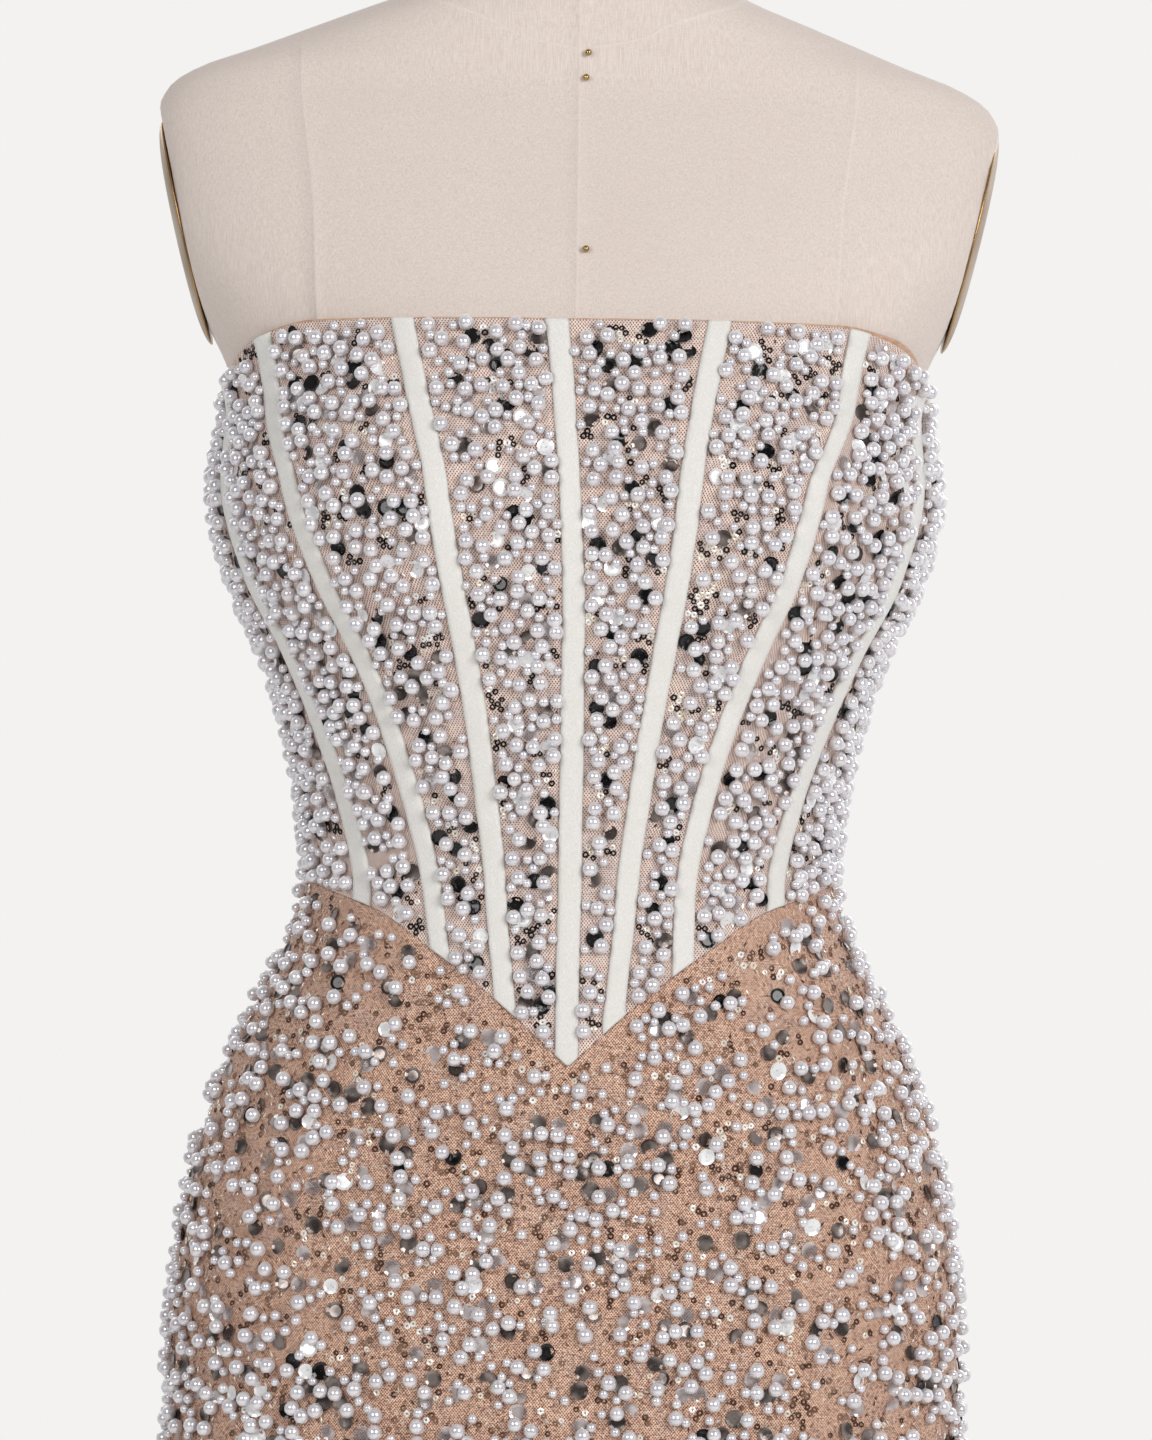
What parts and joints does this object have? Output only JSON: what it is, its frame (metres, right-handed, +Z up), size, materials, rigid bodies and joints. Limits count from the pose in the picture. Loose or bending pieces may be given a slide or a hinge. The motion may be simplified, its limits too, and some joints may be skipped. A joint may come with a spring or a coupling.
{
  "type": "strapless mini dress on dress form",
  "caption": "Strapless corset-bodice mini dress with velvet boning and a pointed waist seam, beaded all over, worn by a limbless linen dress form on a round-based stand.",
  "frame": {"origin": "middle of the stand base's underside", "axes": "+Z up; the dress faces -Y; +X is to the right of someone looking at its front"},
  "size_m": [0.3656, 0.36, 1.501],
  "materials": {
    "bodice_net": "dark grey net over a nude lining",
    "skirt_mesh": "tan net over a nude lining",
    "velvet": "cream velvet ribbon",
    "satin": "tan satin",
    "zip_tape": "woven tape",
    "zip_metal": "satin nickel",
    "linen": "natural linen, pulled tight",
    "brass": "lacquered",
    "wood": "satin varnish",
    "stand_iron": "satin black",
    "stand_steel": "satin",
    "pearl": "pearlescent",
    "sequin_dark": "mirror gloss",
    "sequin_bright": "mirror",
    "sequin_clear": "translucent gloss",
    "seed_bead": "glossy"
  },
  "bodies": {
    "dress_and_form": {"bodice_centre_back_left": "bodice_net", "bodice_back_left": "bodice_net", "bodice_back_side_left": "bodice_net", "bodice_side_left": "bodice_net", "bodice_side_front_left": "bodice_net", "bodice_front_left": "bodice_net", "bodice_inner_left": "bodice_net", "bodice_inner_right": "bodice_net", "bodice_front_right": "bodice_net", "bodice_side_front_right": "bodice_net", "bodice_side_right": "bodice_net", "bodice_back_side_right": "bodice_net", "bodice_back_right": "bodice_net", "bodice_centre_back_right": "bodice_net", "bone_back_left": "velvet", "bone_back_side_left": "velvet", "bone_side_left": "velvet", "bone_side_front_left": "velvet", "bone_outer_left": "velvet", "bone_inner_left": "velvet", "bone_centre": "velvet", "bone_inner_right": "velvet", "bone_outer_right": "velvet", "bone_side_front_right": "velvet", "bone_side_right": "velvet", "bone_back_side_right": "velvet", "bone_back_right": "velvet", "neckline_facing": "satin", "skirt_back_left": "skirt_mesh", "skirt_front": "skirt_mesh", "skirt_back_right": "skirt_mesh", "zip_tape": "zip_tape", "zip_slider": "zip_metal", "form_torso": "linen", "arm_plate_left": "brass", "arm_plate_right": "brass", "pin_neck_upper": "brass", "pin_neck_lower": "brass", "pin_chest": "brass", "neck_cap": "wood", "bottom_board": "wood", "stand_flange": "stand_iron", "stand_pole": "stand_steel", "stand_base": "stand_iron"},
    "pull_tab": {"zip_pull": "zip_metal"}
  },
  "joints": [
    {"name": "zip_pull_swing", "type": "hinge", "parent": "dress_and_form", "child": "pull_tab", "pos_m": [0, 0.11289, 1.211], "axis": [1, 0, 0], "range_deg": [0, 150]}
  ]
}
